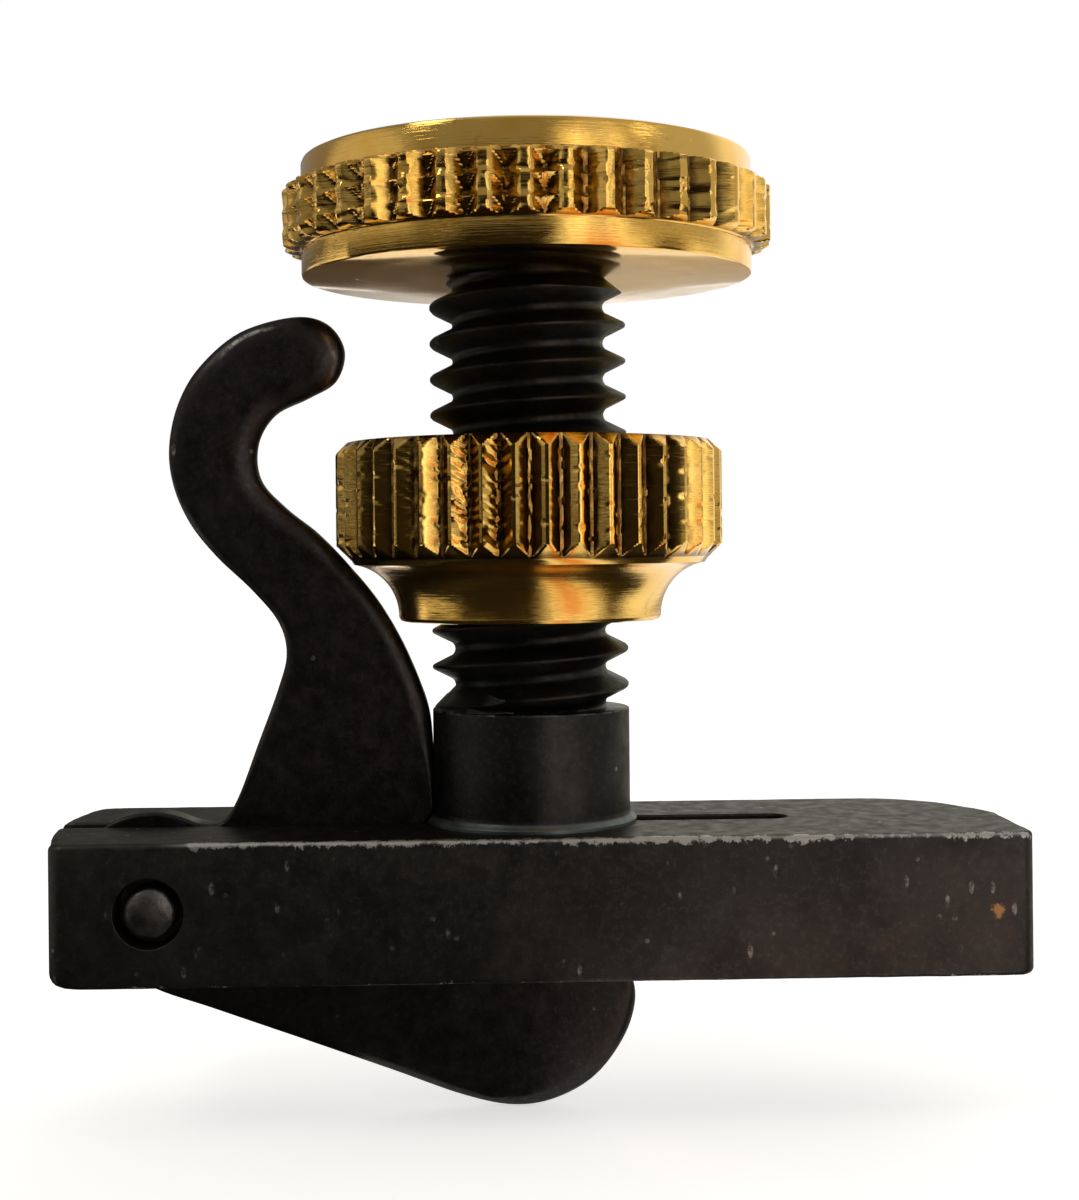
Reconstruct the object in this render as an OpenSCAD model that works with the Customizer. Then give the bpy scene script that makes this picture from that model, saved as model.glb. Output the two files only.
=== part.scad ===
// String adjuster for a violin tailpiece: a slotted bar carries a hollow threaded post and a
// pivoting hooked lever. A brass ring nut clamps the tailpiece against the bar, and a brass-headed
// screw runs down inside the post and pushes the lever's lower arm.
// Millimetres. The origin is the post's axis at the bar's top face, +Z up the post, +X away from
// the lever, and the lever swings in the XZ plane.

/* [Frame bar] */
// Length along X
bar_length = 18.45; // [17.8:0.05:19]
// Width along Y
bar_width = 5; // [4.8:0.1:5.6]
// Height along Z
bar_height = 2.65; // [2.4:0.05:2.8]
// Width of the slot that the lever swings in
slot_width = 0.68; // [0.64:0.01:0.9]
// Where the slot's blind end lies along X
slot_end = 5; // [4.6:0.1:5.6]
// Radius of the gently rounded end beside the pivot, seen from above
round_end_r = 8.3; // [7:0.1:12]
// Radius of the small corners, seen from above
corner_r = 0.32; // [0.2:0.02:0.4]
// Radius of the big corner at the plain end, seen from above
far_corner_r = 2.15; // [1.8:0.05:2.3]

/* [Pivot] */
// Distance of the pivot from the post's axis
pivot_reach = 7.08; // [7:0.02:7.2]
// Depth of the pivot below the bar's top face
pivot_depth = 1.28; // [1.2:0.02:1.36]
// Diameter of the pivot pin
pin_d = 1.3; // [1.2:0.02:1.4]
// How far each end of the pin lies inside the bar's side
pin_recess = 0.1; // [0.05:0.01:0.2]

/* [Threaded post] */
// Outside diameter of the post and of its thread
post_d = 3.84; // [3.8:0.02:3.88]
// Pitch of the outside thread
post_pitch = 0.7; // [0.65:0.05:0.7]
// Depth of the outside thread
thread_depth = 0.45; // [0.35:0.01:0.48]
// Height of the smooth barrel above the bar
barrel_height = 2.2; // [2:0.05:2.4]
// Height of the post above the bar
post_height = 10.58; // [10.4:0.02:10.8]
// Diameter of the foot that is set into the bar
foot_d = 4.1; // [4.06:0.02:4.2]
// Depth of the foot in the bar
foot_depth = 0.4; // [0.3:0.05:0.42]

/* [Clamp nut] */
// Diameter over the knurl
nut_d = 7.53; // [7.3:0.01:7.56]
// Number of knurl teeth
nut_teeth = 40; // [36:1:46]
// Height of the nut's lowest face above the bar
nut_base = 3.91; // [3.9:0.01:3.95]
// Height of the hub and its cove below the knurl
nut_hub_height = 1.15; // [1.1:0.01:1.2]
// Height of the knurled band
nut_band = 2.31; // [2.2:0.01:2.35]
// Diameter of the hub's lowest edge
nut_hub_d = 5.12; // [5:0.02:5.2]

/* [Adjusting screw] */
// Diameter of the head over the knurl
head_d = 9.5; // [9.3:0.05:9.6]
// Number of knurl teeth on the head
head_teeth = 40; // [36:1:44]
// Diameter of the plain lands above and below the knurl
land_d = 8.76; // [8.6:0.02:8.8]
// Height of the lower land
lower_land = 0.52; // [0.4:0.02:0.6]
// Height of the knurled band
head_band = 1.19; // [1.1:0.01:1.3]
// Height of the upper land
upper_land = 0.55; // [0.4:0.01:0.6]
// Nominal diameter of the screw inside the post
stem_d = 2; // [1.8:0.05:2]

/* [Lever] */
// Thickness along Y
lever_t = 0.62; // [0.55:0.01:0.64]
// Angle that the lower arm lies below level when the screw is fully in
arm_slope = 6.5; // [6.5:0.1:7]
// Distance of the arm's upper edge below the pivot's centre
arm_drop = 0.35; // [0.35:0.01:0.4]

/* [Hidden] */
$fn = 96;
eps = 0.01;

black_steel = [0.10, 0.10, 0.10];
grey_steel = [0.32, 0.32, 0.33];
brass = [0.83, 0.66, 0.30];

bar_half = bar_length / 2;
half_width = bar_width / 2;
pivot_x = -pivot_reach;
pivot_z = -pivot_depth;
post_r = post_d / 2;
foot_r = foot_d / 2;
end_bevel = 0.25;
corner_inset = 0.6;
far_corner_inset = 2.5;
bar_heel_r = 0.4;
bar_toe_r = 0.15;

run_gap = 0.03;
stem_r = stem_d / 2;
stem_bore_r = stem_r + run_gap;
bar_bore_r = stem_r + 0.1;
tip_r = 0.6;
tip_taper = 0.5;
contact_gap = 0.015;
tip_z = pivot_z + (tip_r + contact_gap - arm_drop) / cos(arm_slope) - pivot_reach * tan(arm_slope);
neck_r = 0.8;
neck_length = 1.5;
head_base = post_height;
head_knurl_depth = 0.28;
head_under_bevel = 0.05;
head_top_bevel = 0.08;

pin_bevel = 0.25;
pin_nose_r = 0.4;
pin_nose_rise = 0.21;

nut_knurl_depth = 0.2;
nut_lower_bevel = 0.3;
nut_upper_bevel = 0.21;
nut_hub_step = 0.1;
cove_r = 1.02;
band_step = 0.03;

// Points on an arc around [x, y], both ends included.
function arc(x, y, r, from, to, steps = 8) =
    [for (i = [0:steps]) let (a = from + (to - from) * i / steps) [x + r * cos(a), y + r * sin(a)]];

// Point t of the way from b to c on the smooth curve through a, b, c and d.
function on_curve(a, b, c, d, t) =
    0.5 * (2 * b + (c - a) * t + (2 * a - 5 * b + 4 * c - d) * t * t + (3 * b - a - 3 * c + d) * t * t * t);

// A smooth closed curve through every point of a list.
function closed_curve(p, steps = 5) =
    let (n = len(p))
    [for (i = [0:n - 1], s = [0:steps - 1])
        on_curve(p[(i + n - 1) % n], p[i], p[(i + 1) % n], p[(i + 2) % n], s / steps)];

// The outline of a straight knurl, with pointed teeth.
function knurl_outline(crest, valley, teeth) =
    [for (i = [0:2 * teeth - 1]) let (a = i * 180 / teeth, r = i % 2 == 0 ? crest : valley)
        [r * cos(a), r * sin(a)]];

// Height of the arm's straight upper edge at x, when the screw is fully in.
function arm_top(x) = pivot_z - arm_drop / cos(arm_slope) - (x - pivot_x) * tan(arm_slope);

module across_y(length) {
    rotate([90, 0, 0]) linear_extrude(height = length, center = true) children();
}

module bar_plan() {
    end_x = -bar_half + round_end_r;
    corner_x = -bar_half + corner_inset;
    polygon(concat(
        arc(corner_x, corner_r - half_width, corner_r, 270, 200, 5),
        arc(end_x, 0.2, round_end_r, 195, 168, 6),
        arc(corner_x, half_width - corner_r, corner_r, 160, 90, 5),
        arc(bar_half - far_corner_inset, half_width - far_corner_r, far_corner_r, 90, 35, 8),
        [[bar_half - 0.27, 0.77], [bar_half - 0.04, 0.1]],
        arc(bar_half - corner_r, corner_r - half_width, corner_r, 0, -90, 5)
    ));
}

module bar_side() {
    polygon(concat(
        arc(-bar_half + bar_heel_r, -bar_height + bar_heel_r, bar_heel_r, 180, 270, 6),
        arc(bar_half - bar_toe_r, -bar_height + bar_toe_r, bar_toe_r, 270, 360, 4),
        arc(bar_half - end_bevel, -end_bevel, end_bevel, 0, 90, 6),
        arc(-bar_half + end_bevel, -end_bevel, end_bevel, 90, 180, 6)
    ));
}

module lever_slot() {
    slot_r = slot_width / 2;
    translate([-bar_half - 1, -slot_r, -bar_height - 1])
        cube([bar_half + 1 + slot_end - slot_r, slot_width, bar_height + 2]);
    translate([slot_end - slot_r, 0, -bar_height - 1])
        cylinder(h = bar_height + 2, r = slot_r);
}

module frame_bar() {
    color(black_steel) difference() {
        intersection() {
            translate([0, 0, -bar_height]) linear_extrude(height = bar_height) bar_plan();
            across_y(bar_width + 1) bar_side();
        }
        lever_slot();
        translate([0, 0, -foot_depth]) cylinder(h = foot_depth + 1, r = foot_r);
        translate([0, 0, -bar_height - 1]) cylinder(h = bar_height + 2, r = bar_bore_r);
        translate([pivot_x, 0, pivot_z]) rotate([90, 0, 0])
            cylinder(h = bar_width + 2, d = pin_d, center = true);
    }
}

// Foot, barrel and ring grooves of the post, as a half section.
function post_section() =
    let (
        root = post_r - thread_depth,
        flat = post_pitch / 16,
        first = barrel_height + 0.9 * post_pitch,
        turns = floor((post_height - first) / post_pitch)
    )
    concat(
        [[0, -foot_depth], [foot_r, -foot_depth], [foot_r, 0], [post_r, 0], [post_r, barrel_height]],
        [for (i = [0:turns - 1]) each [
            [root, first + i * post_pitch - post_pitch / 2],
            [post_r, first + i * post_pitch - flat],
            [post_r, first + i * post_pitch + flat]
        ]],
        [[root, first + (turns - 0.5) * post_pitch], [root, post_height], [0, post_height]]
    );

module threaded_post() {
    color(black_steel) difference() {
        rotate_extrude() polygon(post_section());
        translate([0, 0, -foot_depth - 1]) cylinder(h = post_height + foot_depth + 2, r = stem_bore_r);
    }
}

// The lever's outline, from the top of the hook and clockwise round it. The stretch under the post
// is straight, where the screw's tip bears on it.
function lever_points() = [
    [-4.55, 9.86], [-3.9, 9.72], [-3.57, 9.2], [-3.74, 8.6], [-4.28, 8.27],
    [-4.92, 7.95], [-5.26, 7.39], [-5.22, 6.7], [-4.75, 6.15], [-4.1, 5.62],
    [-3.5, 4.98], [-2.98, 4.34], [-2.52, 3.56], [-2.18, 2.75], [-2.0, 2.1],
    [-1.95, 1.2], [-1.99, 0.4], [-2.13, -0.4], [-2.28, -1.3], [-2.12, arm_top(-2.12) + 0.14],
    [-1.6, arm_top(-1.6)], [-0.9, arm_top(-0.9)], [0.6, arm_top(0.6)], [1.2, arm_top(1.2)],
    [1.78, -2.86], [1.98, -3.44], [1.78, -4.2], [1.2, -4.98],
    [0.42, -5.42], [-0.42, -5.53], [-1.4, -5.32], [-2.75, -4.82], [-4.4, -4.22], [-6.2, -3.57],
    [-7.5, -3.06], [-8.3, -2.3], [-8.52, -1.3], [-8.48, -0.5], [-8.3, -0.02], [-7.85, 0.2],
    [-7.3, 0.27], [-6.85, 0.19], [-6.45, 0.05], [-6.02, 0.07], [-5.7, 0.54], [-5.3, 1.6], [-4.92, 2.62],
    [-4.75, 3.3], [-4.9, 3.92], [-5.4, 4.54], [-6.08, 5.2], [-6.6, 5.86],
    [-6.92, 6.6], [-7.0, 7.35], [-6.82, 8.18], [-6.39, 8.91], [-5.6, 9.57]
];

module lever() {
    color(black_steel) difference() {
        across_y(lever_t) polygon(closed_curve(lever_points()));
        translate([pivot_x, 0, pivot_z]) rotate([90, 0, 0])
            cylinder(h = lever_t + 2, r = pin_d / 2 + run_gap, center = true);
    }
}

module pivot_pin() {
    end = half_width - pin_recess;
    shoulder = end - pin_bevel;
    color(grey_steel) translate([pivot_x, 0, pivot_z]) rotate([90, 0, 0]) rotate_extrude()
        polygon([
            [0, -end], [pin_nose_r, -shoulder - pin_nose_rise], [pin_d / 2, -shoulder],
            [pin_d / 2, shoulder], [pin_nose_r, shoulder + pin_nose_rise], [0, end]
        ]);
}

module clamp_nut() {
    bore_r = post_r + run_gap;
    crest = nut_d / 2;
    valley = crest - nut_knurl_depth;
    hub_r = nut_hub_d / 2;
    band_z = nut_base + nut_hub_height + band_step;
    top_z = band_z + nut_band - band_step;
    neck_z = band_z + 0.2;
    color(brass) difference() {
        union() {
            rotate_extrude() polygon(concat(
                [[0, nut_base], [hub_r - nut_hub_step, nut_base]],
                arc(hub_r + cove_r, nut_base + nut_hub_step, cove_r, 180, 99, 10),
                [[valley - 0.1, neck_z], [0, neck_z]]
            ));
            intersection() {
                translate([0, 0, band_z]) linear_extrude(height = top_z - band_z)
                    polygon(knurl_outline(crest, valley, nut_teeth));
                rotate_extrude() polygon([
                    [0, band_z], [crest - nut_lower_bevel, band_z],
                    [crest + eps, band_z + nut_lower_bevel + eps],
                    [crest + eps, top_z - nut_upper_bevel - eps], [crest - nut_upper_bevel, top_z],
                    [0, top_z]
                ]);
            }
        }
        translate([0, 0, nut_base - 1]) cylinder(h = nut_band + nut_hub_height + 2, r = bore_r);
    }
}

module screw_head() {
    crest = head_d / 2;
    land_r = land_d / 2;
    knurl_z = head_base + lower_land;
    top_z = knurl_z + head_band + upper_land;
    color(brass) difference() {
        union() {
            rotate_extrude() polygon([
                [0, head_base], [land_r - head_under_bevel, head_base],
                [land_r, head_base + head_under_bevel],
                [land_r, top_z - head_top_bevel], [land_r - head_top_bevel, top_z], [0, top_z]
            ]);
            translate([0, 0, knurl_z]) linear_extrude(height = head_band)
                polygon(knurl_outline(crest, crest - head_knurl_depth, head_teeth));
        }
        translate([0, 0, head_base - 1]) cylinder(h = neck_length + 1 + run_gap, r = neck_r + run_gap);
    }
}

module screw_stem() {
    color(grey_steel) {
        translate([0, 0, head_base - eps]) cylinder(h = neck_length + eps, r = neck_r);
        translate([0, 0, tip_z + tip_taper]) cylinder(h = head_base - tip_z - tip_taper, r = stem_r);
        translate([0, 0, tip_z]) cylinder(h = tip_taper, r1 = tip_r, r2 = stem_r);
        translate([0, 0, tip_z]) sphere(r = tip_r);
    }
}

frame_bar();
threaded_post();
lever();
pivot_pin();
clamp_nut();
screw_head();
screw_stem();
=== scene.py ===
"""Looks for the tailpiece string adjuster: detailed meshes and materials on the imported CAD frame.

Shapes are worked out in millimetres and turned into metres when each mesh is made.
"""

import math

import bmesh
import bpy
import numpy as np
from mathutils import Matrix, Vector, noise


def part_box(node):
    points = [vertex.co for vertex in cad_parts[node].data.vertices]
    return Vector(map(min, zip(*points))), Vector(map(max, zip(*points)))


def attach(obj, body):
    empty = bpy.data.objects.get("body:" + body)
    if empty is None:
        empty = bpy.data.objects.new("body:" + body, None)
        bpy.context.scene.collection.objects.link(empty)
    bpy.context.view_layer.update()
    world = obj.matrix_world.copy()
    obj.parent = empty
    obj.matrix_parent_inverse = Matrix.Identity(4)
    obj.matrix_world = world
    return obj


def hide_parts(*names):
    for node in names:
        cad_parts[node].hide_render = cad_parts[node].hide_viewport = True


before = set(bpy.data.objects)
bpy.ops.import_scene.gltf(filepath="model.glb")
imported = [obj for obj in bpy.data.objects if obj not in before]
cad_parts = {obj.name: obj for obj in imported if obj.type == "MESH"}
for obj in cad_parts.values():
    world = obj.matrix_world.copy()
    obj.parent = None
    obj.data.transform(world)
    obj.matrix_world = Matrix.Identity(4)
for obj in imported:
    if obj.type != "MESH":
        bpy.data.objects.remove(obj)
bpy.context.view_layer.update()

MM = 0.001
TAU = 2 * math.pi
SHARP_ANGLE = 32
KNURL_SHARP_ANGLE = 26
POINTS_PER_TOOTH = 18


def node_span(name):
    """Lowest and highest corner of a CAD node, in millimetres."""
    low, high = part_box(name)
    return np.array(low) / MM, np.array(high) / MM


BAR_LO, BAR_HI = node_span("frame_bar")
POST_LO, POST_HI = node_span("threaded_post")
NUT_LO, NUT_HI = node_span("clamp_nut")
HEAD_LO, HEAD_HI = node_span("screw_head")
STEM_LO, STEM_HI = node_span("screw_stem")
LEVER_LO, LEVER_HI = node_span("lever")
PIN_LO, PIN_HI = node_span("pivot_pin")

BAR_HALF = (BAR_HI[0] - BAR_LO[0]) / 2
BAR_SIDE = BAR_HI[1]
BAR_BOTTOM = BAR_LO[2]
FOOT_R = POST_HI[0]
FOOT_DEPTH = -POST_LO[2]
POST_TOP = POST_HI[2]
POST_R = 1.92
THREAD_PITCH = 0.7
THREAD_DEPTH = 0.45
BARREL_TOP = 2.2
PIN_X = (PIN_LO[0] + PIN_HI[0]) / 2
PIN_Z = (PIN_LO[2] + PIN_HI[2]) / 2
PIN_R = (PIN_HI[0] - PIN_LO[0]) / 2
PIN_END = PIN_HI[1]
STEM_R = STEM_HI[0]
SLOT_R = LEVER_HI[1] + 0.03
SLOT_END = 5.0


# ---------------------------------------------------------------- camera, floor and light

def make_camera():
    """The photograph's view: level with the nut's lower edge, 37.6 mm from the post's axis."""
    distance = 37.57 * MM
    height = 5.41 * MM
    yaw = math.radians(1.42)
    roll = math.radians(0.58)
    data = bpy.data.cameras.new("camera")
    camera = bpy.data.objects.new("camera", data)
    bpy.context.scene.collection.objects.link(camera)
    forward = Vector((math.sin(yaw), math.cos(yaw), 0))
    side = Vector((math.cos(yaw), -math.sin(yaw), 0))
    up = Vector((0, 0, 1))
    right = side * math.cos(roll) - up * math.sin(roll)
    top = up * math.cos(roll) + side * math.sin(roll)
    place = Matrix((right, top, -forward)).transposed().to_4x4()
    place.translation = -forward * distance + up * height
    camera.matrix_world = place
    data.sensor_width = 36
    data.lens = 57.54
    data.shift_x = 0.0084
    data.shift_y = -0.0475
    data.clip_start = 1 * MM
    data.clip_end = 10
    bpy.context.scene.camera = camera


def stage_material(name, colour, glow, glow_colour=(1, 1, 1)):
    material = bpy.data.materials.new(name)
    material.use_nodes = True
    shader = material.node_tree.nodes["Principled BSDF"]
    shader.inputs["Base Color"].default_value = (*colour, 1)
    shader.inputs["Roughness"].default_value = 0.9
    shader.inputs["Specular IOR Level"].default_value = 0.1
    shader.inputs["Emission Color"].default_value = (*glow_colour, 1)
    shader.inputs["Emission Strength"].default_value = glow
    return material


def stage_sheet(name, corners, material, seen=True):
    """A flat sheet, corners in metres. An unseen one only shows in reflections."""
    mesh = bpy.data.meshes.new(name)
    mesh.from_pydata(corners, [], [(0, 1, 2, 3)])
    sheet = bpy.data.objects.new(name, mesh)
    bpy.context.scene.collection.objects.link(sheet)
    mesh.materials.append(material)
    sheet.visible_camera = seen
    sheet.visible_diffuse = seen
    sheet.visible_shadow = seen


def level(x0, y0, x1, y1, z):
    return [(x0, y0, z), (x1, y0, z), (x1, y1, z), (x0, y1, z)]


def wedge(start, end, near, far, z):
    """A level wedge round the post's axis. Azimuth 0 is the camera's side and 90 is the right."""
    a, b = math.radians(start), math.radians(end)
    corners = ((a, near), (a, far), (b, far), (b, near))
    return [(math.sin(t) * r, -math.cos(t) * r, z) for t, r in corners]


def upright(x0, x1, y, z0, z1):
    return [(x0, y, z0), (x1, y, z0), (x1, y, z1), (x0, y, z1)]


def make_stage():
    """A pale floor, and cards for reflections: dark in front, warm at the right, tan behind."""
    size = 0.9
    drop = (LEVER_LO[2] - 0.05) * MM
    above = drop + 0.02 * MM
    pale = stage_material("pale_floor", (0.93, 0.93, 0.93), 0.6)
    dark = stage_material("dark_card", (0.02, 0.016, 0.012), 0.0)
    brown = stage_material("brown_card", (0.10, 0.07, 0.04), 0.015)
    tan = stage_material("tan_card", (0.35, 0.30, 0.24), 0.30, (1.0, 0.9, 0.75))
    warm = stage_material("warm_card", (0.5, 0.25, 0.15), 0.65, (1.0, 0.5, 0.28))
    stage_sheet("floor", level(-size, -size, size, size, drop), pale)
    stage_sheet("front_card", wedge(-66, 13, 0.001, 0.6, above), dark, False)
    stage_sheet("near_left_card", wedge(-110, -66, 0.004, 0.024, above), dark, False)
    stage_sheet("near_rear_card", wedge(-160, -110, 0.004, 0.050, above), dark, False)
    stage_sheet("far_left_card", wedge(-100, -66, 0.040, 0.6, above), dark, False)
    stage_sheet("warm_card", wedge(25, 45, 0.003, 0.5, above), warm, False)
    stage_sheet("right_card", wedge(62, 84, 0.003, 0.5, above), brown, False)
    stage_sheet("left_rear_card", level(-0.12, 0.045, 0.001, 0.4, above), brown, False)
    stage_sheet("right_rear_card", level(0.001, 0.045, 0.12, 0.4, above), tan, False)
    stage_sheet("camera_card", upright(-0.045, 0.017, -0.065, drop, 0.018), dark, False)


def area_light(name, azimuth, elevation, distance, width, height, power, colour=(1, 1, 1)):
    """A soft panel that faces the object. Azimuth 0 is the camera's side and 90 is to the right."""
    a = math.radians(azimuth)
    e = math.radians(elevation)
    centre = Vector((0, 0, 4 * MM))
    out = Vector((math.sin(a) * math.cos(e), -math.cos(a) * math.cos(e), math.sin(e)))
    data = bpy.data.lights.new(name, "AREA")
    data.shape = "RECTANGLE"
    data.size = width
    data.size_y = height
    data.energy = power
    data.color = colour
    light = bpy.data.objects.new(name, data)
    bpy.context.scene.collection.objects.link(light)
    light.location = centre + out * distance
    light.rotation_mode = "QUATERNION"
    light.rotation_quaternion = (-out).to_track_quat("-Z", "Y")


def make_world():
    """White to the eye. As light it is dim in front and left, bright on the right and behind."""
    world = bpy.data.worlds.new("studio")
    bpy.context.scene.world = world
    world.use_nodes = True
    nodes, links = world.node_tree.nodes, world.node_tree.links
    nodes.clear()
    coord = nodes.new("ShaderNodeTexCoord")
    split = nodes.new("ShaderNodeSeparateXYZ")
    links.new(coord.outputs["Generated"], split.inputs[0])

    def glow(axis, start, end, dim, bright):
        ramp = nodes.new("ShaderNodeMapRange")
        ramp.interpolation_type = "SMOOTHSTEP"
        ramp.inputs["From Min"].default_value = start
        ramp.inputs["From Max"].default_value = end
        ramp.inputs["To Min"].default_value = dim
        ramp.inputs["To Max"].default_value = bright
        links.new(split.outputs[axis], ramp.inputs["Value"])
        return ramp.outputs["Result"]

    def combine(operation, a, b):
        node = nodes.new("ShaderNodeMath")
        node.operation = operation
        links.new(a, node.inputs[0])
        links.new(b, node.inputs[1])
        return node.outputs[0]

    right = combine("MAXIMUM", glow("X", 0.27, 0.33, 0.0, 0.54), glow("Z", 0.03, 0.20, 0.12, 0.26))
    left = combine("MULTIPLY", glow("X", -0.825, -0.855, 0.0, 0.60), glow("Z", 0.0, 0.15, 0.0, 1.0))
    back = combine("MULTIPLY", glow("Y", 0.05, 0.55, 0.0, 1.15), glow("X", -0.16, 0.10, 0.09, 1.0))
    top = glow("Z", 0.55, 0.9, 0.0, 0.5)
    lit = nodes.new("ShaderNodeBackground")
    lit.inputs["Color"].default_value = (1.0, 0.96, 0.90, 1)
    sides = combine("MAXIMUM", right, left)
    links.new(combine("MAXIMUM", sides, combine("MAXIMUM", back, top)), lit.inputs["Strength"])
    seen = nodes.new("ShaderNodeBackground")
    seen.inputs["Color"].default_value = (1, 1, 1, 1)
    ray = nodes.new("ShaderNodeLightPath")
    mix = nodes.new("ShaderNodeMixShader")
    links.new(ray.outputs["Is Camera Ray"], mix.inputs["Fac"])
    links.new(lit.outputs[0], mix.inputs[1])
    links.new(seen.outputs[0], mix.inputs[2])
    out = nodes.new("ShaderNodeOutputWorld")
    links.new(mix.outputs[0], out.inputs["Surface"])


def make_lights():
    """A window with glazing bars on the right, a small spark above it, a lamp high on the left."""
    warm_white = (1.0, 0.97, 0.91)
    area_light("wide_pane", 22, 10, 0.30, 0.050, 0.20, 0.041, warm_white)
    area_light("slim_pane", 31, 10, 0.30, 0.010, 0.20, 0.008, warm_white)
    area_light("far_pane", 43, 10, 0.30, 0.032, 0.20, 0.025, warm_white)
    area_light("spark", 62, 30, 0.30, 0.03, 0.05, 0.012, (1.0, 0.97, 0.92))
    area_light("left_lamp", -60, 45, 0.35, 0.08, 0.08, 0.11, (1.0, 0.97, 0.9))


# ---------------------------------------------------------------- mesh helpers

def arc(x, y, radius, start, end, steps):
    """Points on an arc, angles in degrees."""
    turn = np.radians(np.linspace(start, end, steps + 1))
    return [(x + radius * math.cos(a), y + radius * math.sin(a)) for a in turn]


def smooth_curve(points, steps):
    """A smooth closed curve through the points, the same curve as the CAD outline."""
    p = np.array(points, float)
    a, b, c, d = np.roll(p, 1, 0), p, np.roll(p, -1, 0), np.roll(p, -2, 0)
    rows = []
    for t in np.arange(steps) / steps:
        rows.append(0.5 * (2 * b + (c - a) * t + (2 * a - 5 * b + 4 * c - d) * t ** 2
                           + (3 * b - a - 3 * c + d) * t ** 3))
    return np.stack(rows, 1).reshape(-1, 2)


def fill_straights(points, longest):
    """The closed outline with extra points, so that no side is longer than `longest`."""
    p = np.array(points, float)
    out = []
    for start, end in zip(p, np.roll(p, -1, 0)):
        parts = max(1, math.ceil(np.linalg.norm(end - start) / longest))
        out += [start + (end - start) * i / parts for i in range(parts)]
    return np.array(out)


def outward(outline):
    """Unit normals of a closed anticlockwise outline."""
    along = np.roll(outline, -1, 0) - np.roll(outline, 1, 0)
    normal = np.stack([along[:, 1], -along[:, 0]], 1)
    return normal / np.linalg.norm(normal, axis=1)[:, None]


def smoothstep(low, high, value):
    t = np.clip((np.asarray(value, float) - low) / (high - low), 0, 1)
    return t * t * (3 - 2 * t)


def wobble(x, y=0.0, z=0.0):
    """Smooth noise from about -1 to 1."""
    return noise.noise(Vector((float(x), float(y), float(z))))


def finish_mesh(name, vertices, faces, sharp=SHARP_ANGLE):
    """An object from points in millimetres, with outward normals and edges sharp past an angle."""
    mesh = bpy.data.meshes.new(name)
    mesh.from_pydata((np.asarray(vertices, float) * MM).tolist(), [], faces)
    tidy_mesh(mesh, sharp)
    obj = bpy.data.objects.new(name, mesh)
    bpy.context.scene.collection.objects.link(obj)
    return obj


def tidy_mesh(mesh, sharp):
    bm = bmesh.new()
    bm.from_mesh(mesh)
    bmesh.ops.remove_doubles(bm, verts=bm.verts, dist=1e-7)
    bmesh.ops.dissolve_degenerate(bm, edges=bm.edges, dist=1e-7)
    bmesh.ops.recalc_face_normals(bm, faces=bm.faces)
    bm.to_mesh(mesh)
    bm.free()
    mesh.shade_smooth()
    mesh.set_sharp_from_angle(angle=math.radians(sharp))


def ring_faces(rows, columns, closed_rows=False):
    faces = []
    for i in range(rows if closed_rows else rows - 1):
        a, b = i * columns, (i + 1) % rows * columns
        for j in range(columns):
            k = (j + 1) % columns
            faces.append((a + j, a + k, b + k, b + j))
    return faces


def ring_solid(name, outline, rings, place=None):
    """A solid from copies of an outline. Each ring is (height, inset). place maps the points."""
    normal = outward(outline)
    layers = []
    for height, inset in rings:
        inset = np.broadcast_to(np.asarray(inset, float), len(outline))
        height = np.broadcast_to(np.asarray(height, float), len(outline))
        flat = outline - normal * inset[:, None]
        layers.append(np.column_stack([flat, height]))
    points = np.concatenate(layers)
    if place is not None:
        points = place(points)
    count = len(outline)
    faces = ring_faces(len(rings), count)
    faces.append(tuple(range(count)))
    faces.append(tuple(range((len(rings) - 1) * count, len(rings) * count)))
    return finish_mesh(name, points, faces)


def revolved(name, radius, height, closed_rows=False, axis="Z", sharp=SHARP_ANGLE):
    """A surface of revolution from rows by columns, so that the radius may vary round the axis."""
    rows, columns = radius.shape
    turn = np.linspace(0, TAU, columns, endpoint=False)
    x, y = radius * np.cos(turn), radius * np.sin(turn)
    points = np.stack([x, y, height], -1).reshape(-1, 3)
    if axis == "Y":
        points = np.stack([points[:, 0], points[:, 2], points[:, 1]], -1)
    return finish_mesh(name, points, ring_faces(rows, columns, closed_rows), sharp)


def plain_rows(profile, columns):
    """Radius and height arrays for a profile that is the same all the way round."""
    p = np.array(profile, float)
    return np.repeat(p[:, :1], columns, 1), np.repeat(p[:, 1:], columns, 1)


def carve(target, tool, operation="DIFFERENCE"):
    """Cuts, joins or intersects with another closed solid, and removes that solid."""
    step = target.modifiers.new("carve", "BOOLEAN")
    step.operation = operation
    step.solver = "EXACT"
    step.object = tool
    bpy.context.view_layer.update()
    shaped = target.evaluated_get(bpy.context.evaluated_depsgraph_get())
    result = bpy.data.meshes.new_from_object(shaped)
    target.modifiers.clear()
    old = target.data
    target.data = result
    result.name = target.name
    bpy.data.meshes.remove(old)
    bpy.data.objects.remove(tool)
    tidy_mesh(result, SHARP_ANGLE)


def drill(target, radius, low, high, centre=(0, 0), flare=0.0, along="Z"):
    """A round hole from low to high, with a small flare at both mouths."""
    steps = 96
    circle = np.array(arc(0, 0, radius, 0, 360, steps)[:-1])
    rings = [(low, 0), (high, 0)]
    if flare:
        wider = -2 * flare
        rings = [(low - flare, wider), (low + flare, 0), (high - flare, 0), (high + flare, wider)]

    def place(points):
        if along == "Y":
            return np.stack([points[:, 0] + centre[0], points[:, 2], points[:, 1] + centre[1]], 1)
        return points + np.array([centre[0], centre[1], 0])

    carve(target, ring_solid("drill", circle, rings, place))


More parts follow.
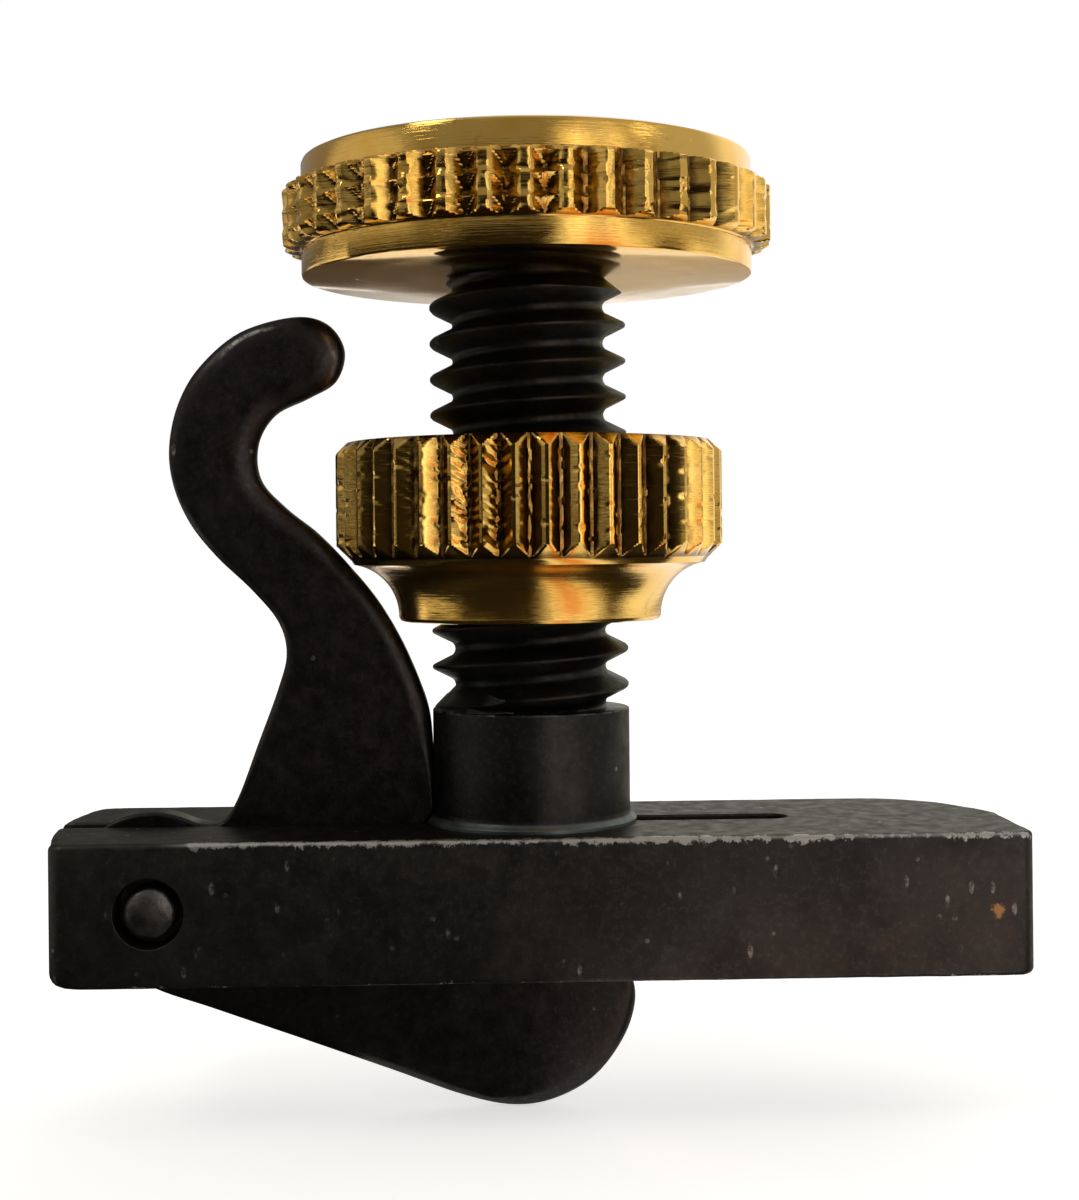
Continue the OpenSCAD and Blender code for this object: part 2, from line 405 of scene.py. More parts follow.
def helical_rod(name, root, crest, pitch, low, high, crest_height, per_turn=72):
    """A closed right-handed threaded rod, longer than low to high, with a crest at crest_height."""
    flat = pitch * 0.05
    round_root = pitch * 0.16
    profile = [
        (root, 0.0), (root + 0.012, round_root * 0.5), (root + 0.05, round_root),
        (crest - 0.03, pitch / 2 - flat * 1.6), (crest, pitch / 2 - flat * 0.6),
        (crest, pitch / 2 + flat * 0.6), (crest - 0.03, pitch / 2 + flat * 1.6),
        (root + 0.05, pitch - round_root), (root + 0.012, pitch - round_root * 0.5),
    ]
    start = crest_height - pitch / 2 - pitch * math.ceil((crest_height - low) / pitch + 1)
    turns = math.ceil((high - start) / pitch) + 1
    points = []
    for step in range(turns * per_turn + 1):
        turn = TAU * step / per_turn
        rise = start + pitch * step / per_turn
        for radius, dz in profile:
            points.append((radius * math.cos(turn), radius * math.sin(turn), rise + dz))
    points += [(0, 0, start - pitch), (0, 0, start + pitch * (turns + 2))]
    return finish_mesh(name, points, rod_faces(len(profile), turns * per_turn, per_turn))


def rod_faces(size, steps, per_turn):
    """Faces of a rod whose profile of `size` points is copied at each step, with two end points."""
    faces = []
    for step in range(steps):
        a, b = step * size, (step + 1) * size
        faces += [(a + i, b + i, b + i + 1, a + i + 1) for i in range(size - 1)]
        if step + per_turn < steps:
            turn_above = a + per_turn * size
            faces.append((a + size - 1, b + size - 1, turn_above + size, turn_above))
    bottom = (steps + 1) * size
    top = bottom + 1
    last = steps * size
    last_turn = (steps - per_turn) * size + size - 1
    for step in range(per_turn):
        faces.append((bottom, (step + 1) * size, step * size))
        faces.append((top, last_turn + step * size, last_turn + (step + 1) * size))
    for i in range(size - 1):
        faces.append((bottom, i, i + 1))
        faces.append((top, last + i + 1, last + i))
    faces.append((bottom, size - 1, per_turn * size))
    faces.append((top, last, last_turn))
    return faces


def settle(piece, body, node, material):
    """Puts a finished piece on its body, in place of its CAD node, with its material."""
    piece.data.materials.clear()
    piece.data.materials.append(material)
    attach(piece, body)
    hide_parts(node)


def even_shading(piece):
    """Keeps broad flat faces flat where they meet rounded edges."""
    step = piece.modifiers.new("normals", "WEIGHTED_NORMAL")
    step.keep_sharp = True
    step.weight = 80


# ---------------------------------------------------------------- material helpers

class Surface:
    """A Principled material whose patterns are laid out in millimetres on the object."""

    def __init__(self, name):
        self.material = bpy.data.materials.new(name)
        self.material.use_nodes = True
        self.nodes = self.material.node_tree.nodes
        self.links = self.material.node_tree.links
        self.shader = self.nodes["Principled BSDF"]
        coord = self.nodes.new("ShaderNodeTexCoord")
        scale = self.nodes.new("ShaderNodeVectorMath")
        scale.operation = "SCALE"
        scale.inputs["Scale"].default_value = 1 / MM
        self.links.new(coord.outputs["Object"], scale.inputs[0])
        self.place = scale.outputs[0]
        split = self.nodes.new("ShaderNodeSeparateXYZ")
        self.links.new(self.place, split.inputs[0])
        self.x, self.y, self.z = split.outputs

    def feed(self, socket, value):
        if isinstance(value, bpy.types.NodeSocket):
            self.links.new(value, socket)
        elif isinstance(value, (tuple, list)):
            socket.default_value = (*value, 1) if len(value) == 3 else value
        else:
            socket.default_value = value

    def math(self, operation, a, b=None):
        node = self.nodes.new("ShaderNodeMath")
        node.operation = operation
        self.feed(node.inputs[0], a)
        if b is not None:
            self.feed(node.inputs[1], b)
        return node.outputs[0]

    def remap(self, value, low, high, to_low=0.0, to_high=1.0, smooth=True):
        node = self.nodes.new("ShaderNodeMapRange")
        node.interpolation_type = "SMOOTHSTEP" if smooth else "LINEAR"
        self.feed(node.inputs["Value"], value)
        node.inputs["From Min"].default_value = low
        node.inputs["From Max"].default_value = high
        node.inputs["To Min"].default_value = to_low
        node.inputs["To Max"].default_value = to_high
        return node.outputs["Result"]

    def stretched(self, stretch, turn):
        """Where a pattern is looked up: in plain millimetres, or turned and then stretched."""
        if stretch is None:
            return self.place
        node = self.nodes.new("ShaderNodeMapping")
        self.links.new(self.place, node.inputs["Vector"])
        node.inputs["Rotation"].default_value = turn
        node.inputs["Scale"].default_value = stretch
        return node.outputs[0]

    def noise(self, scale, detail=3, roughness=0.55, stretch=None, turn=(0, 0, 0), distortion=0.0):
        node = self.nodes.new("ShaderNodeTexNoise")
        self.links.new(self.stretched(stretch, turn), node.inputs["Vector"])
        node.inputs["Scale"].default_value = scale
        node.inputs["Detail"].default_value = detail
        node.inputs["Roughness"].default_value = roughness
        node.inputs["Distortion"].default_value = distortion
        return node.outputs[0]

    def cells(self, scale, stretch=None, turn=(0, 0, 0)):
        """Distance to the nearest of scattered points, and a random colour for each."""
        node = self.nodes.new("ShaderNodeTexVoronoi")
        self.links.new(self.stretched(stretch, turn), node.inputs["Vector"])
        node.inputs["Scale"].default_value = scale
        return node.outputs["Distance"], node.outputs["Color"]

    def specks(self, scale, size, share, stretch=None, turn=(0, 0, 0)):
        """1 in small scattered spots, each kept with a chance of about `share`."""
        distance, colour = self.cells(scale, stretch, turn)
        spot = self.remap(distance, size, size * 0.55)
        split = self.nodes.new("ShaderNodeSeparateColor")
        self.links.new(colour, split.inputs[0])
        kept = self.math("LESS_THAN", split.outputs[0], share)
        return self.math("MULTIPLY", spot, kept)

    def mix(self, share, a, b):
        """Colour a turned into colour b. Sockets 6, 7 and 2 are the mix node's colour ones."""
        node = self.nodes.new("ShaderNodeMix")
        node.data_type = "RGBA"
        self.feed(node.inputs[0], share)
        self.feed(node.inputs[6], a)
        self.feed(node.inputs[7], b)
        return node.outputs[2]

    def distance(self, point):
        node = self.nodes.new("ShaderNodeVectorMath")
        node.operation = "DISTANCE"
        self.links.new(self.place, node.inputs[0])
        node.inputs[1].default_value = point
        return node.outputs["Value"]

    def radius(self):
        """Distance from the post's axis."""
        squares = self.math("ADD", self.math("POWER", self.x, 2.0), self.math("POWER", self.y, 2.0))
        return self.math("SQRT", squares)

    def bump(self, height, distance, strength=1.0):
        node = self.nodes.new("ShaderNodeBump")
        node.inputs["Strength"].default_value = strength
        node.inputs["Distance"].default_value = distance * MM
        self.feed(node.inputs["Height"], height)
        self.links.new(node.outputs[0], self.shader.inputs["Normal"])

    def set(self, **values):
        for key, value in values.items():
            self.feed(self.shader.inputs[key.replace("_", " ")], value)


def blackened_steel(name, dark, light, rough, marks_and_highlights, grain, specks):
    """Black-oxide steel: mottled near-black with fine grain, pale nicks, and worn marks and painted
    highlights of its own.
    """
    s = Surface(name)
    cloud = s.noise(0.55, 4, 0.6)
    colour = s.mix(s.remap(cloud, 0.35, 0.68), dark, light)
    fine = s.noise(9.0, 5, 0.7)
    colour = s.mix(s.remap(fine, 0.45, 0.8, 0.0, 0.5), colour, tuple(2.0 * v for v in light))
    slim = s.specks(1.15, 0.17, specks, stretch=(2.4, 1.3, 1.0), turn=(0.0, 0.35, 0.0))
    small = s.specks(2.6, 0.16, specks * 0.8)
    ragged = s.remap(s.noise(7.0, 3, 0.7), 0.40, 0.62, 0.05, 1.0)
    marks = s.math("MAXIMUM", s.math("MULTIPLY", slim, 0.65), s.math("MULTIPLY", small, 0.36))
    colour = s.mix(s.math("MULTIPLY", marks, ragged), colour, (0.36, 0.35, 0.33))
    roughness = s.remap(s.noise(3.0, 4, 0.6), 0.3, 0.75, rough - 0.07, rough + 0.12)
    # adds the part's own marks and its painted highlights to the colour
    colour = marks_and_highlights(s, colour)
    s.set(Base_Color=colour, Roughness=roughness, Metallic=0.92, Specular_Tint=(0.62, 0.63, 0.58))
    s.bump(s.math("ADD", s.math("MULTIPLY", fine, grain), s.math("MULTIPLY", slim, -0.5)), 0.008)
    return s.material


def bar_wear_and_highlights(s, colour):
    """Bare metal in fine broken patches on the long edges, a painted highlight stripe along the
    upper edges, a painted highlight on the pivot end, and a rusty fleck near the plain end.
    """
    side = s.math("ABSOLUTE", s.math("SUBTRACT", s.math("ABSOLUTE", s.y), float(BAR_SIDE)))
    upper = s.math("MAXIMUM", side, s.math("ABSOLUTE", s.z))
    lower = s.math("MAXIMUM", side, s.math("ABSOLUTE", s.math("SUBTRACT", s.z, float(BAR_BOTTOM))))
    place = s.noise(0.5, 2, 0.5, stretch=(1.0, 1.0, 0.2))
    chips = s.noise(2.8, 5, 0.8, stretch=(1.0, 1.0, 0.7))
    past_pivot = s.remap(s.x, -7.0, -6.0)
    eased = s.remap(s.x, -1.0, 6.0, 0.0, -0.035)
    rich = s.math("ADD", s.math("MULTIPLY", place, 0.35), s.math("ADD", chips, eased))
    reach_upper = s.math("MULTIPLY", s.remap(rich, 0.52, 0.84, 0.0, 0.20, smooth=False), past_pivot)
    reach_lower = s.remap(rich, 0.66, 0.95, 0.0, 0.17, smooth=False)
    bare = s.math("MAXIMUM", s.remap(s.math("SUBTRACT", reach_upper, upper), 0.0, 0.035),
                  s.remap(s.math("SUBTRACT", reach_lower, lower), 0.0, 0.05))
    # painted highlight: a thin pale stripe along the upper long edges past the pivot, where the
    # rounding catches the light
    painted_edge_highlight = s.math("MULTIPLY", s.remap(upper, 0.085, 0.03, 0.0, 0.5), past_pivot)
    # painted highlight: the last 0.3 mm of the pivot end is lighter, for light on its rounded near
    # edge
    painted_end_highlight = s.remap(s.x, 0.30 - float(BAR_HALF), 0.14 - float(BAR_HALF), 0.0, 0.45)
    colour = s.mix(painted_end_highlight, colour, (0.14, 0.135, 0.125))
    # the pale mix holds the real bare-metal chips and the painted highlight stripe
    worn = s.math("MAXIMUM", s.math("MULTIPLY", bare, 0.9), painted_edge_highlight)
    colour = s.mix(worn, colour, (0.50, 0.49, 0.47))
    fleck = s.distance((8.5, -2.5, -1.42))
    rust = s.remap(s.math("ADD", fleck, s.math("MULTIPLY", chips, 0.5)), 0.40, 0.32)
    return s.mix(rust, colour, (0.34, 0.20, 0.08))


def hook_highlights(s, colour):
    """A painted highlight along the hook's upper left shoulder, and a fainter painted highlight
    round its tip.
    """
    ragged = s.noise(9.0, 4, 0.7, stretch=(1.0, 0.3, 1.0))
    # painted highlight: a pale band where the rounded upper left shoulder catches the light
    shoulder = s.math("ABSOLUTE", s.math("SUBTRACT", s.distance((-4.8, -0.2, 8.2)), 1.437))
    shoulder_highlight = s.math("MULTIPLY", s.remap(shoulder, 0.06, 0.0), s.remap(s.z, 8.9, 9.5))
    shoulder_highlight = s.math("MULTIPLY", shoulder_highlight, s.remap(s.x, -4.85, -5.15))
    shoulder_highlight = s.math("MULTIPLY", shoulder_highlight, s.remap(ragged, 0.35, 0.6, 0.1, 0.8))
    # painted highlight: a faint pale curve along the right edge of the tip
    tip = s.math("ABSOLUTE", s.math("SUBTRACT", s.distance((-4.45, -0.2, 8.97)), 0.70))
    tip_highlight = s.math("MULTIPLY", s.remap(tip, 0.09, 0.0), s.remap(s.x, -4.1, -3.85))
    tip_highlight = s.math("MULTIPLY", tip_highlight, s.remap(ragged, 0.35, 0.6, 0.05, 0.25))
    return s.mix(s.math("MAXIMUM", shoulder_highlight, tip_highlight), colour, (0.42, 0.41, 0.38))


def foot_ring_and_edge_stripe(s, colour):
    """A greyer ring at the post's foot, and a faint pale stripe, broken by noise, on the barrel's
    upper edge.
    """
    ring = s.math("MULTIPLY", s.remap(s.radius(), POST_R + 0.01, POST_R + 0.04),
                  s.remap(s.noise(1.2, 3), 0.3, 0.6, 0.6, 1.0))
    colour = s.mix(ring, colour, (0.13, 0.15, 0.15))
    edge = s.remap(s.math("ABSOLUTE", s.math("SUBTRACT", s.z, BARREL_TOP)), 0.045, 0.01)
    edge = s.math("MULTIPLY", edge, s.remap(s.noise(3.0, 3), 0.4, 0.7, 0.0, 0.3))
    return s.mix(edge, colour, (0.4, 0.39, 0.37))


def turned_brass(name, rough, lathe, valley, crest):
    """Bright brass with fine lathe rings, brown stain, small dents and painted shade between the
    teeth.
    """
    s = Surface(name)
    cloud = s.noise(0.9, 4, 0.6)
    colour = s.mix(s.remap(cloud, 0.35, 0.7), (0.86, 0.55, 0.14), (0.80, 0.46, 0.09))
    stain = s.remap(s.noise(2.6, 5, 0.7), 0.56, 0.72, 0.0, 0.5)
    colour = s.mix(stain, colour, (0.45, 0.25, 0.07))
    radius = s.radius()
    # painted shade: the valleys between the teeth are darkened towards deep brown
    low = s.math("ADD", radius, s.remap(s.noise(4.0, 3), 0.3, 0.7, -0.03, 0.05))
    in_band = s.remap(radius, valley - 0.03, valley - 0.01)
    valley_shade = s.math("MULTIPLY", s.remap(low, crest, valley), in_band)
    colour = s.mix(s.math("MULTIPLY", valley_shade, 0.86), colour, (0.13, 0.065, 0.02))
    rings = s.noise(9.0, 4, 0.7, stretch=(0.03, 0.03, 3.0))
    patches = s.noise(0.8, 3, 0.6)
    plain = s.remap(radius, 3.1, 3.6, 0.07, 0.0)
    roughness = s.remap(s.math("ADD", rings, patches), 0.7, 1.4, rough, rough + 0.09)
    roughness = s.math("ADD", roughness, plain)
    s.set(Base_Color=colour, Roughness=roughness, Metallic=1.0)
    dents = s.specks(2.4, 0.13, 0.10)
    depth = s.math("MULTIPLY", rings, s.remap(radius, 3.1, 3.6, 1.1, lathe))
    height = s.math("SUBTRACT", depth, s.math("MULTIPLY", dents, 0.6))
    s.bump(height, 0.006)
    return s.material


def pin_steel():
    s = Surface("pin_steel")
    cloud = s.noise(3.0, 4, 0.6)
    colour = s.mix(s.remap(cloud, 0.3, 0.7), (0.07, 0.068, 0.065), (0.17, 0.16, 0.15))
    s.set(Base_Color=colour, Roughness=s.remap(cloud, 0.3, 0.7, 0.25, 0.4), Metallic=0.95)
    s.bump(s.noise(8.0, 4, 0.6), 0.01)
    return s.material


def screw_steel():
    s = Surface("screw_steel")
    cloud = s.noise(2.0, 4, 0.6)
    colour = s.mix(s.remap(cloud, 0.3, 0.7), (0.30, 0.30, 0.31), (0.42, 0.41, 0.40))
    s.set(Base_Color=colour, Roughness=s.remap(cloud, 0.3, 0.7, 0.25, 0.4), Metallic=1.0)
    s.bump(s.noise(10.0, 4, 0.6, stretch=(0.1, 0.1, 2.0)), 0.006)
    return s.material


# ---------------------------------------------------------------- the pieces

def bar_outline():
    """The bar seen from above: a gently rounded end at the pivot and one large far corner."""
    round_end, small, far_corner = 8.3, 0.32, 2.15
    corner_x = -BAR_HALF + 0.6
    points = (
        arc(corner_x, BAR_SIDE - small, small, 90, 160, 6)
        + arc(-BAR_HALF + round_end, 0.2, round_end, 168, 195, 8)
        + arc(corner_x, small - BAR_SIDE, small, 200, 270, 6)
        + arc(BAR_HALF - small, small - BAR_SIDE, small, -90, 0, 6)
        + [(BAR_HALF - 0.04, 0.1), (BAR_HALF - 0.27, 0.77)]
        + arc(BAR_HALF - 2.5, BAR_SIDE - far_corner, far_corner, 35, 90, 10)
    )
    return fill_straights(points, 0.16)


def make_bar():
    """The slotted bar. Its edges are rounded unevenly, like worn edges, and more at the pivot end.
    """
    outline = bar_outline()
    x = outline[:, 0]
    left = smoothstep(-8.3, -8.9, x)
    broad = np.array([wobble(px * 1.7, py * 1.7) for px, py in outline])
    fine = np.array([wobble(px * 5, py * 5, 7) for px, py in outline])
    worn = broad + 0.6 * fine
    upper = 0.10 + 0.03 * worn + 0.03 * left
    lower = 0.09 + 0.03 * np.roll(worn, 9) + 0.2 * left + 0.03 * smoothstep(8.6, 9.0, x)
    steps = 5
    rings = []
    for i in range(steps, -1, -1):
        a = math.pi / 2 * i / steps
        rings.append((BAR_BOTTOM + lower * (1 - math.sin(a)), lower * (1 - math.cos(a))))
    for i in range(steps + 1):
        a = math.pi / 2 * i / steps
        rings.append((-upper * (1 - math.sin(a)), upper * (1 - math.cos(a))))
    bar = ring_solid("bar_body", outline, rings)
    half = SLOT_END - SLOT_R
    slot = np.array([(-BAR_HALF - 2, -SLOT_R)] + arc(half, 0, SLOT_R, -90, 90, 12)
                    + [(-BAR_HALF - 2, SLOT_R)])
    low, high = BAR_BOTTOM - 1, 1.0
    cutter = ring_solid("slot", slot, [(low, 0), (-0.04, 0), (0.0, -0.03), (high, -0.03)])
    carve(bar, cutter)
    drill(bar, STEM_R + 0.1, low, high)
    drill(bar, FOOT_R, -FOOT_DEPTH, high)
    drill(bar, PIN_R, -BAR_SIDE, BAR_SIDE, (PIN_X, PIN_Z), 0.01, "Y")
    even_shading(bar)
    dark, light = (0.030, 0.0285, 0.0275), (0.048, 0.044, 0.041)
    steel = blackened_steel("blackened_bar", dark, light, 0.42, bar_wear_and_highlights,
                            grain=0.4, specks=0.42)
    settle(bar, "frame", "frame_bar", steel)


def make_post():
    """The hollow post: foot ring, smooth barrel and a right-handed thread, run out at the left."""
    root = POST_R - THREAD_DEPTH
    runout = BARREL_TOP + THREAD_DEPTH
    columns = 120
    turn = np.linspace(0, TAU, columns, endpoint=False)
    beside = smoothstep(math.cos(math.radians(88)), math.cos(math.radians(40)), -np.cos(turn))

    def rows(profile):
        radius = np.array([r + drop * beside for r, drop, z in profile])
        height = np.repeat(np.array([[z] for r, drop, z in profile]), columns, 1)
        return radius, height

    post = helical_rod("post_body", root, POST_R - 0.004, THREAD_PITCH, BARREL_TOP, POST_TOP, 9.66)
    wide = POST_R + 0.1
    envelope = [(0, 0, BARREL_TOP - 0.5), (wide, -0.1, BARREL_TOP - 0.5),
                (wide, -0.1, BARREL_TOP), (wide, root + 0.01 - wide, runout),
                (wide, 0, runout + 0.4), (wide, 0, POST_TOP - 0.45),
                (root + 0.02, 0, POST_TOP), (0, 0, POST_TOP)]
    carve(post, revolved("envelope", *rows(envelope)), "INTERSECT")
    barrel = [(0, 0, -FOOT_DEPTH), (FOOT_R - 0.002, 0, -FOOT_DEPTH), (FOOT_R - 0.002, 0, 0.0),
              (FOOT_R - 0.006, 0, 0.055), (FOOT_R - 0.03, 0, 0.085), (POST_R + 0.035, 0, 0.13),
              (POST_R + 0.01, 0, 0.18), (POST_R, 0, 0.25), (POST_R, 0, BARREL_TOP - 0.03),
              (POST_R - 0.008, 0, BARREL_TOP - 0.01), (POST_R - 0.03, 0.015, BARREL_TOP),
              (root - 0.05, POST_R - 0.02 - root + 0.05, BARREL_TOP + 0.004),
              (root - 0.05, 0.04, runout), (0, 0, runout)]
    carve(post, revolved("barrel", *rows(barrel)), "UNION")
    drill(post, STEM_R + 0.03, -FOOT_DEPTH - 1, POST_TOP + 1)
    dark, light = (0.018, 0.017, 0.0165), (0.031, 0.029, 0.028)
    steel = blackened_steel("blackened_thread", dark, light, 0.38, foot_ring_and_edge_stripe,
                            grain=0.6, specks=0.12)
    settle(post, "frame", "threaded_post", steel)


LEVER_CURVE = [
    (-4.55, 9.86), (-3.9, 9.72), (-3.57, 9.2), (-3.74, 8.6), (-4.28, 8.27), (-4.92, 7.95),
    (-5.26, 7.39), (-5.22, 6.7), (-4.75, 6.15), (-4.1, 5.62), (-3.5, 4.98), (-2.98, 4.34),
    (-2.52, 3.56), (-2.17, 2.75), (-1.975, 2.1), (-1.912, 1.2), (-1.908, 0.6), (-1.912, 0.24),
    (-2.06, 0.02), (-2.13, -0.4), (-2.28, -1.3), (-2.12, -2.06), (-1.6, -2.26), (-0.9, -2.34),
    (0.6, -2.51), (1.2, -2.58), (1.78, -2.86), (1.98, -3.44), (1.78, -4.2), (1.2, -4.98),
    (0.42, -5.42), (-0.42, -5.53), (-1.4, -5.32), (-2.75, -4.82), (-4.4, -4.22), (-6.2, -3.57),
    (-7.5, -3.06), (-8.3, -2.3), (-8.52, -1.3), (-8.48, -0.5), (-8.3, -0.02), (-7.85, 0.2),
    (-7.3, 0.27), (-6.85, 0.19), (-6.45, 0.05), (-6.02, 0.07), (-5.7, 0.54), (-5.3, 1.6),
    (-4.92, 2.62), (-4.75, 3.3), (-4.9, 3.92), (-5.4, 4.54), (-6.08, 5.2), (-6.6, 5.86),
    (-6.92, 6.6), (-7.0, 7.35), (-6.82, 8.18), (-6.39, 8.91), (-5.6, 9.57),
]


def make_lever():
    """The hooked lever: a flat plate with broad soft rounding on the hook and the lower lobe."""
    outline = smooth_curve(LEVER_CURVE, 7)[::-1]
    height = outline[:, 1]
    facing_right = smoothstep(-0.2, 0.6, outward(outline)[:, 0])
    soft = np.maximum(smoothstep(0.4, 2.4, height), smoothstep(-2.9, -3.8, height))
    hook = smoothstep(5.0, 7.5, height)
    inset = 0.08 + soft * (0.12 + 0.16 * facing_right) + 0.22 * hook
    depth = 0.07 + soft * (0.09 + 0.05 * facing_right) + 0.09 * hook
    half = LEVER_HI[1]
    steps = 7
    rings = []
    for side in (-1, 1):
        span = range(steps, -1, -1) if side < 0 else range(steps + 1)
        for i in span:
            a = math.pi / 2 * i / steps
            rings.append((side * (half - depth * (1 - math.sin(a))), inset * (1 - math.cos(a))))

    def place(points):
        return np.stack([points[:, 0], points[:, 2], points[:, 1]], 1)

    lever = ring_solid("lever_body", outline, rings, place)
    drill(lever, PIN_R + 0.03, -half, half, (PIN_X, PIN_Z), 0.02, "Y")
    even_shading(lever)
    dark, light = (0.028, 0.025, 0.025), (0.040, 0.036, 0.035)
    steel = blackened_steel("blackened_lever", dark, light, 0.34, hook_highlights,
                            grain=0.5, specks=0.06)
    settle(lever, "lever", "lever", steel)


def make_pin():
    """The cross pin, with a small domed nose at each end."""
    nose = 0.47
    tip = PIN_END + 0.08
    side = [(PIN_R, tip - 0.62), (PIN_R - 0.02, tip - 0.6), (nose + 0.03, tip - 0.58),
            (nose, tip - 0.5), (nose, tip - 0.2)]
    dome = [(nose * math.cos(a), tip - 0.16 + 0.16 * math.sin(a))
            for a in np.radians(np.linspace(10, 90, 9))]
    half = side + dome
    profile = half[::-1] + [(r, -z) for r, z in half]
    pin = revolved("pin_body", *plain_rows(profile, 64), axis="Y")
    shift = Matrix.Translation((PIN_X * MM, 0, PIN_Z * MM))
    pin.data.transform(shift)
    settle(pin, "frame", "pivot_pin", pin_steel())


def knurl_grid(teeth, lag, heights):
    """A knurl's points: angle, height, number of the tooth and how far round from its crest."""
    turn = np.linspace(0, TAU, teeth * POINTS_PER_TOOTH, endpoint=False)
    turns, rows = np.meshgrid(turn, heights)
    phase = (turns - math.radians(lag)) * teeth / TAU
    tooth = np.round(phase)
    return turns, rows, tooth % teeth, phase - tooth


def around_knurl(lower_rows, radius, height, upper_rows):
    """Radius and height arrays of a knurled band with plain rows below and above it."""
    low_r, low_z = plain_rows(lower_rows, radius.shape[1])
    up_r, up_z = plain_rows(upper_rows, radius.shape[1])
    return np.concatenate([low_r, radius, up_r]), np.concatenate([low_z, height, up_z])


def noise_field(a, b, seed):
    """Smooth noise over two arrays."""
    return np.array([wobble(p, q, seed) for p, q in zip(a.ravel(), b.ravel())]).reshape(a.shape)


def make_nut():
    """The ring nut: bored hub, concave cove and a band of straight V teeth with bevelled ends."""
    teeth = 40
    crest = NUT_HI[0]
    depth = 0.24
    valley = crest - depth
    base, top = NUT_LO[2], NUT_HI[2]
    bore = POST_R + 0.03
    hub = 2.56
    cove = 1.02
    band = base + 1.18
    hub_rows = [(bore, base + 0.14), (bore + 0.14, base), (hub - 0.10, base),
                (hub - 0.04, base + 0.02), (hub, base + 0.08)]
    lower_rows = hub_rows + arc(hub + cove, base + 0.1, cove, 178, 99, 18)
    upper_rows = [(valley - 0.25, top), (bore + 0.5, top), (bore + 0.15, top), (bore, top - 0.15)]
    lower_bevel = band + np.linspace(0, 0.32, 12)
    upper_bevel = top - np.linspace(0.24, 0, 10)
    middle = np.linspace(band + 0.34, top - 0.26, 64)
    heights = np.concatenate([lower_bevel, middle, upper_bevel])
    turns, rows, tooth, across = knurl_grid(teeth, 3.6, heights)
    floor = 0.10 + 0.05 * noise_field(tooth * 5.3, rows * 4.5, 31)
    shape = (np.clip(1 - 2 * np.abs(across), floor, 0.89) - 0.06) / 0.83
    radius = valley + depth * shape
    right_face = smoothstep(0.04, 0.12, across) * smoothstep(0.47, 0.38, across)
    torn_at = math.radians(252)
    torn = 0.12 + 0.88 * smoothstep(0.975, 0.990, np.cos(turns - torn_at))
    chatter = np.abs(noise_field(tooth * 3.1 - across * 1.5, rows * 6.0 + across * 2.5, 9))
    radius -= 0.09 * chatter * right_face * torn
    nicks = np.maximum(0, noise_field(turns * 9, rows * 6.5, 15) - 0.22)
    radius -= 0.04 * nicks * smoothstep(0.6, 1.0, shape)
    limit = np.minimum(crest - 0.30 + (rows - band), crest - 0.21 + (top - rows))
    radius = np.minimum(radius, limit)
    radius, height = around_knurl(lower_rows, radius, rows, upper_rows)
    nut = revolved("nut_body", radius, height, closed_rows=True, sharp=KNURL_SHARP_ANGLE)
    brass = turned_brass("nut_brass", 0.05, 0.35, valley, valley + 0.15)
    settle(nut, "nut", "clamp_nut", brass)


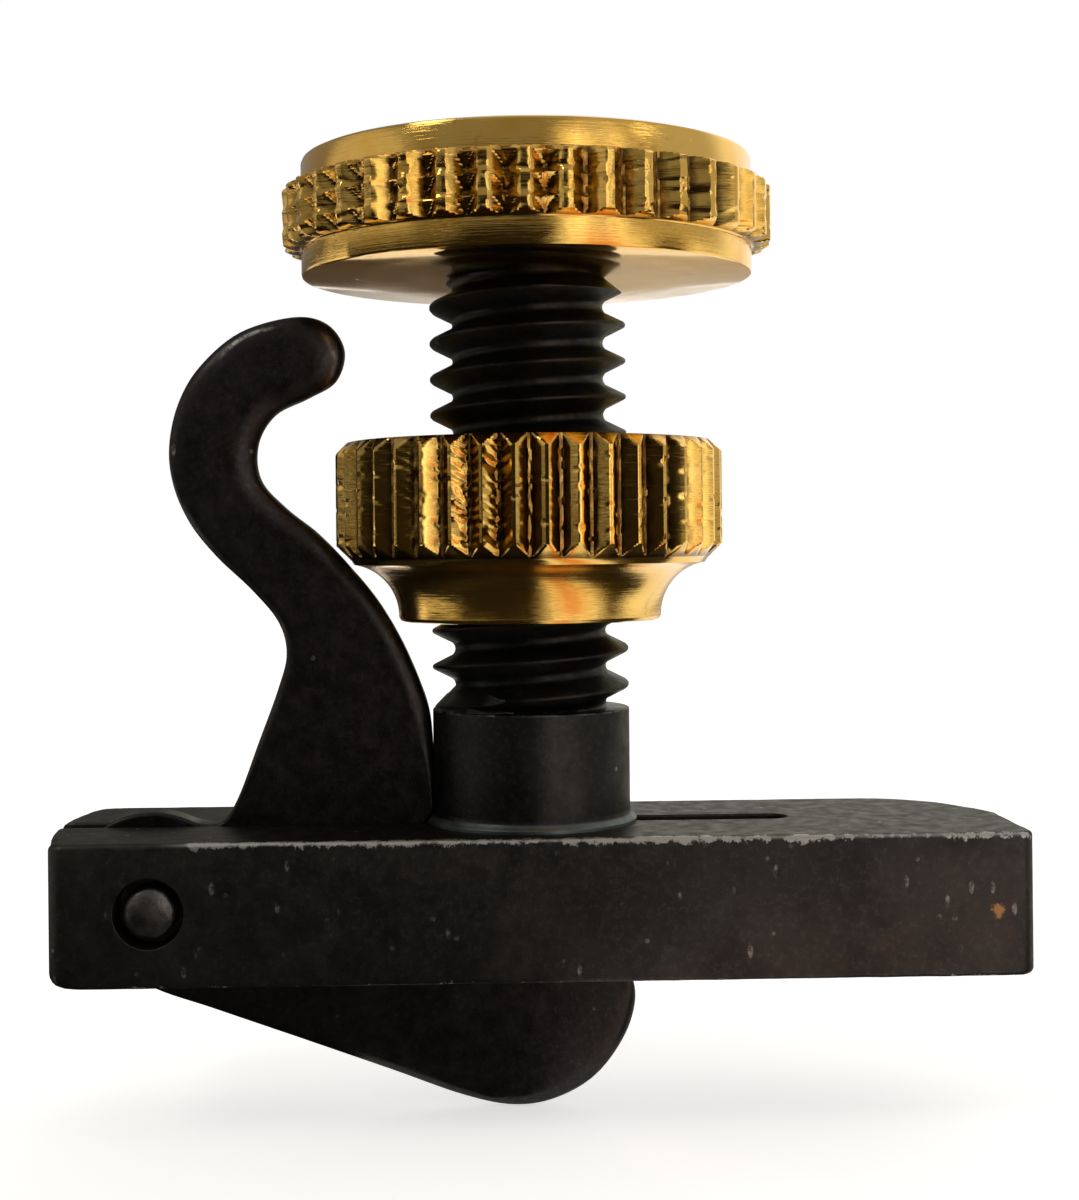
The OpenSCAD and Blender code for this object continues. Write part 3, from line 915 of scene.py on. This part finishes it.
def make_head():
    """The screw's head: a disc with plain lands and a knurl, part waffle, part straight teeth."""
    teeth = 40
    crest = HEAD_HI[0]
    depth = 0.3
    valley = crest - depth
    base, top = HEAD_LO[2], HEAD_HI[2]
    land = 4.38
    low, high = base + 0.52, base + 1.71
    bore = 0.83
    lower_rows = [(0, base + 1.5), (bore, base + 1.5), (bore, base + 0.04), (bore + 0.05, base),
                  (2.2, base), (land - 0.06, base), (land - 0.015, base + 0.015),
                  (land, base + 0.06), (land, low - 0.02)]
    upper_rows = [(land, high + 0.02), (land, top - 0.09), (land - 0.025, top - 0.03),
                  (land - 0.09, top), (2.2, top), (0, top)]
    ends = np.array([0.0, 0.012, 0.03, 0.06])
    middle = np.linspace(low + 0.08, high - 0.08, 52)
    heights = np.concatenate([low + ends, middle, high - ends[::-1]])
    turns, rows, tooth, across = knurl_grid(teeth, -1.5, heights)
    ragged = 0.05 * noise_field(tooth * 2.9 + np.sign(across), rows * 5.0, 17)
    shape = (np.clip(1 - 2 * np.abs(across) + ragged, 0.08, 0.80) - 0.08) / 0.72
    pits = 3
    along = (rows - low) / (high - low) * pits + 0.10 * noise_field(tooth * 2.3, rows, 2)
    cell = along % 1
    ridge = np.minimum(cell / 0.72, (1 - cell) / 0.28)
    waffle_at = math.radians(205)
    waffle = smoothstep(0.17, 0.34, np.cos(turns - waffle_at))
    far_left = np.where(np.sin(turns) < 0, smoothstep(-0.56, -0.66, np.cos(turns)), 1.0)
    centre = smoothstep(-0.34, -0.22, np.cos(turns))
    both_sides = np.maximum(np.maximum(far_left, centre), smoothstep(0.05, -0.05, across))
    shape = np.maximum(shape, 0.72 * ridge ** 1.5 * waffle * (0.25 + 0.75 * both_sides))
    shape -= 0.10 * (1 - ridge) * waffle * smoothstep(0.75, 1.0, shape)
    radius = valley + depth * shape
    nicks = np.maximum(0, noise_field(turns * 11, rows * 6, 21) - 0.15)
    radius -= 0.06 * nicks * (0.3 + 0.7 * shape)
    inside = np.clip(np.minimum(rows - low, high - rows) / 0.10, 0, 1)
    step = land + 0.02
    radius = np.minimum(radius, step + (crest - step) * np.sqrt(1 - (1 - inside) ** 2))
    radius, height = around_knurl(lower_rows, radius, rows, upper_rows)
    head = revolved("head_body", radius, height, sharp=KNURL_SHARP_ANGLE)
    brass = turned_brass("head_brass", 0.04, 0.7, valley, valley + 0.17)
    settle(head, "head", "screw_head", brass)


def make_stem():
    """The steel screw inside the post, with its own fine thread, a plain neck and a rounded tip."""
    tip_r = 0.6
    neck = 0.8
    shoulder = HEAD_LO[2]
    low = STEM_LO[2]
    stem = helical_rod("stem_body", STEM_R - 0.2, STEM_R - 0.002, 0.4, low, shoulder, shoulder, 48)
    turn = np.radians(np.linspace(0, 75, 8))
    rounded = [(tip_r * math.sin(a), low + tip_r * (1 - math.cos(a))) for a in turn]
    envelope = rounded + [(STEM_R + 0.05, low + tip_r + 0.55), (STEM_R + 0.05, shoulder - 0.12),
                          (neck, shoulder - 0.1), (neck, shoulder), (0, shoulder)]
    carve(stem, revolved("envelope", *plain_rows(envelope, 64)), "INTERSECT")
    spigot = [(0, shoulder - 1), (neck - 0.003, shoulder - 1), (neck - 0.003, STEM_HI[2] - 0.08),
              (neck - 0.08, STEM_HI[2]), (0, STEM_HI[2])]
    carve(stem, revolved("spigot", *plain_rows(spigot, 64)), "UNION")
    settle(stem, "screw", "screw_stem", screw_steel())


def main():
    bpy.context.scene.view_settings.view_transform = "Standard"
    make_camera()
    make_world()
    make_lights()
    make_stage()
    make_bar()
    make_post()
    make_lever()
    make_pin()
    make_nut()
    make_head()
    make_stem()


main()
